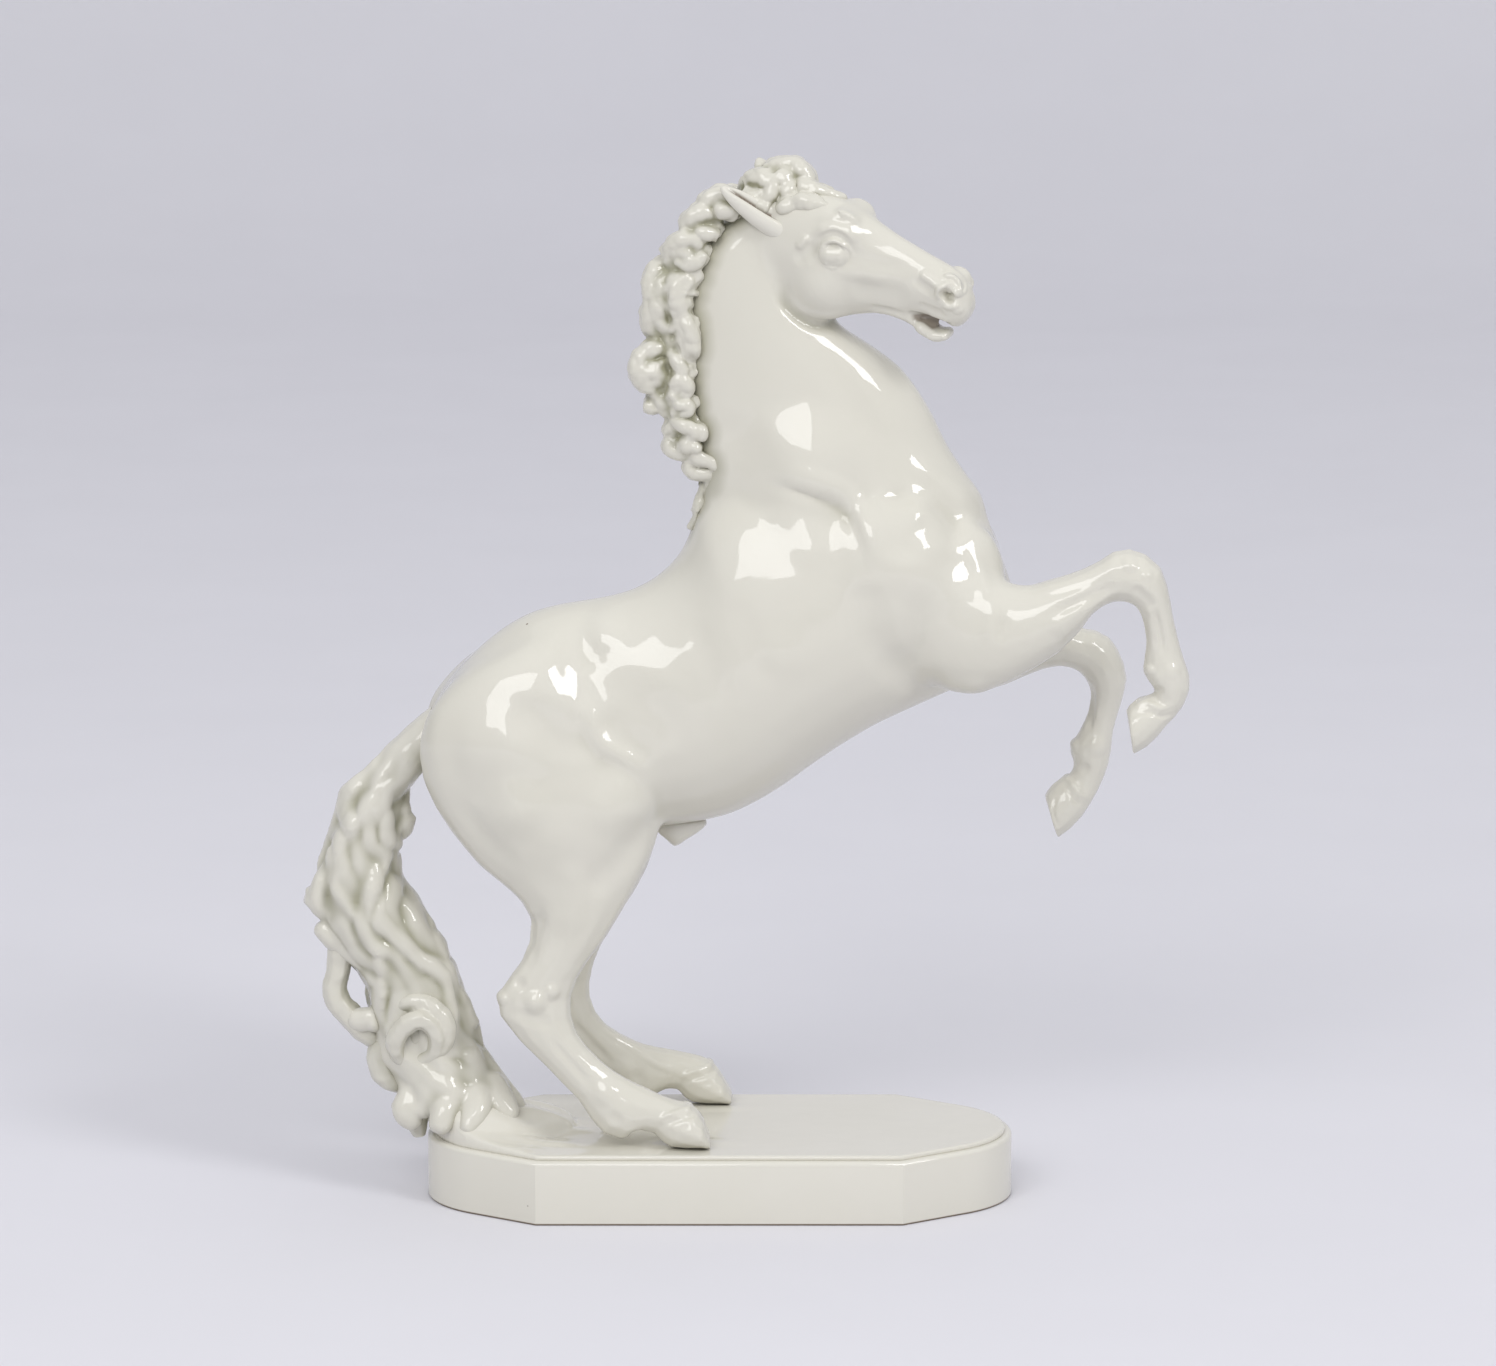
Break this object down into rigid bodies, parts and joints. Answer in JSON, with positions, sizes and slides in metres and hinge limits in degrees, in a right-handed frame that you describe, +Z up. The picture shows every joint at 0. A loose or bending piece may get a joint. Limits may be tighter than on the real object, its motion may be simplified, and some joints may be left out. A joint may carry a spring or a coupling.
{
  "type": "porcelain horse figurine",
  "caption": "Rearing horse figurine in white glazed porcelain on a low hollow plinth with cut corners and round ends.",
  "frame": {"origin": "on the table, under the middle of the whole object's bounding box", "axes": "+Z up; +X the way the horse faces; -Y the side that shows its right flank"},
  "size_m": [0.331, 0.098, 0.3965],
  "materials": {
    "porcelain_glaze": "clear gloss glaze over white porcelain"
  },
  "bodies": {
    "root": {"plinth": "porcelain_glaze", "ground": "porcelain_glaze", "torso": "porcelain_glaze", "neck": "porcelain_glaze", "head": "porcelain_glaze", "right_ear": "porcelain_glaze", "left_ear": "porcelain_glaze", "forelock_roll": "porcelain_glaze", "forelock_curl": "porcelain_glaze", "forelock_wisp": "porcelain_glaze", "forelock_strand": "porcelain_glaze", "mane_lock_1": "porcelain_glaze", "mane_lock_2": "porcelain_glaze", "mane_lock_3": "porcelain_glaze", "mane_lock_4": "porcelain_glaze", "mane_lock_5": "porcelain_glaze", "mane_lock_6": "porcelain_glaze", "mane_lock_7": "porcelain_glaze", "mane_lock_8": "porcelain_glaze", "mane_lock_9": "porcelain_glaze", "mane_lock_10": "porcelain_glaze", "mane_lock_11": "porcelain_glaze", "mane_lock_12": "porcelain_glaze", "mane_lock_13": "porcelain_glaze", "mane_lock_14": "porcelain_glaze", "mane_lock_15": "porcelain_glaze", "mane_lock_16": "porcelain_glaze", "mane_lock_17": "porcelain_glaze", "mane_lock_18": "porcelain_glaze", "right_foreleg": "porcelain_glaze", "left_foreleg": "porcelain_glaze", "right_hind_leg": "porcelain_glaze", "left_hind_leg": "porcelain_glaze", "sheath": "porcelain_glaze", "tail": "porcelain_glaze", "tail_side_lock": "porcelain_glaze", "tail_hook_curl": "porcelain_glaze", "tail_tuft_upper": "porcelain_glaze", "tail_tuft_lower": "porcelain_glaze"}
  },
  "joints": []
}
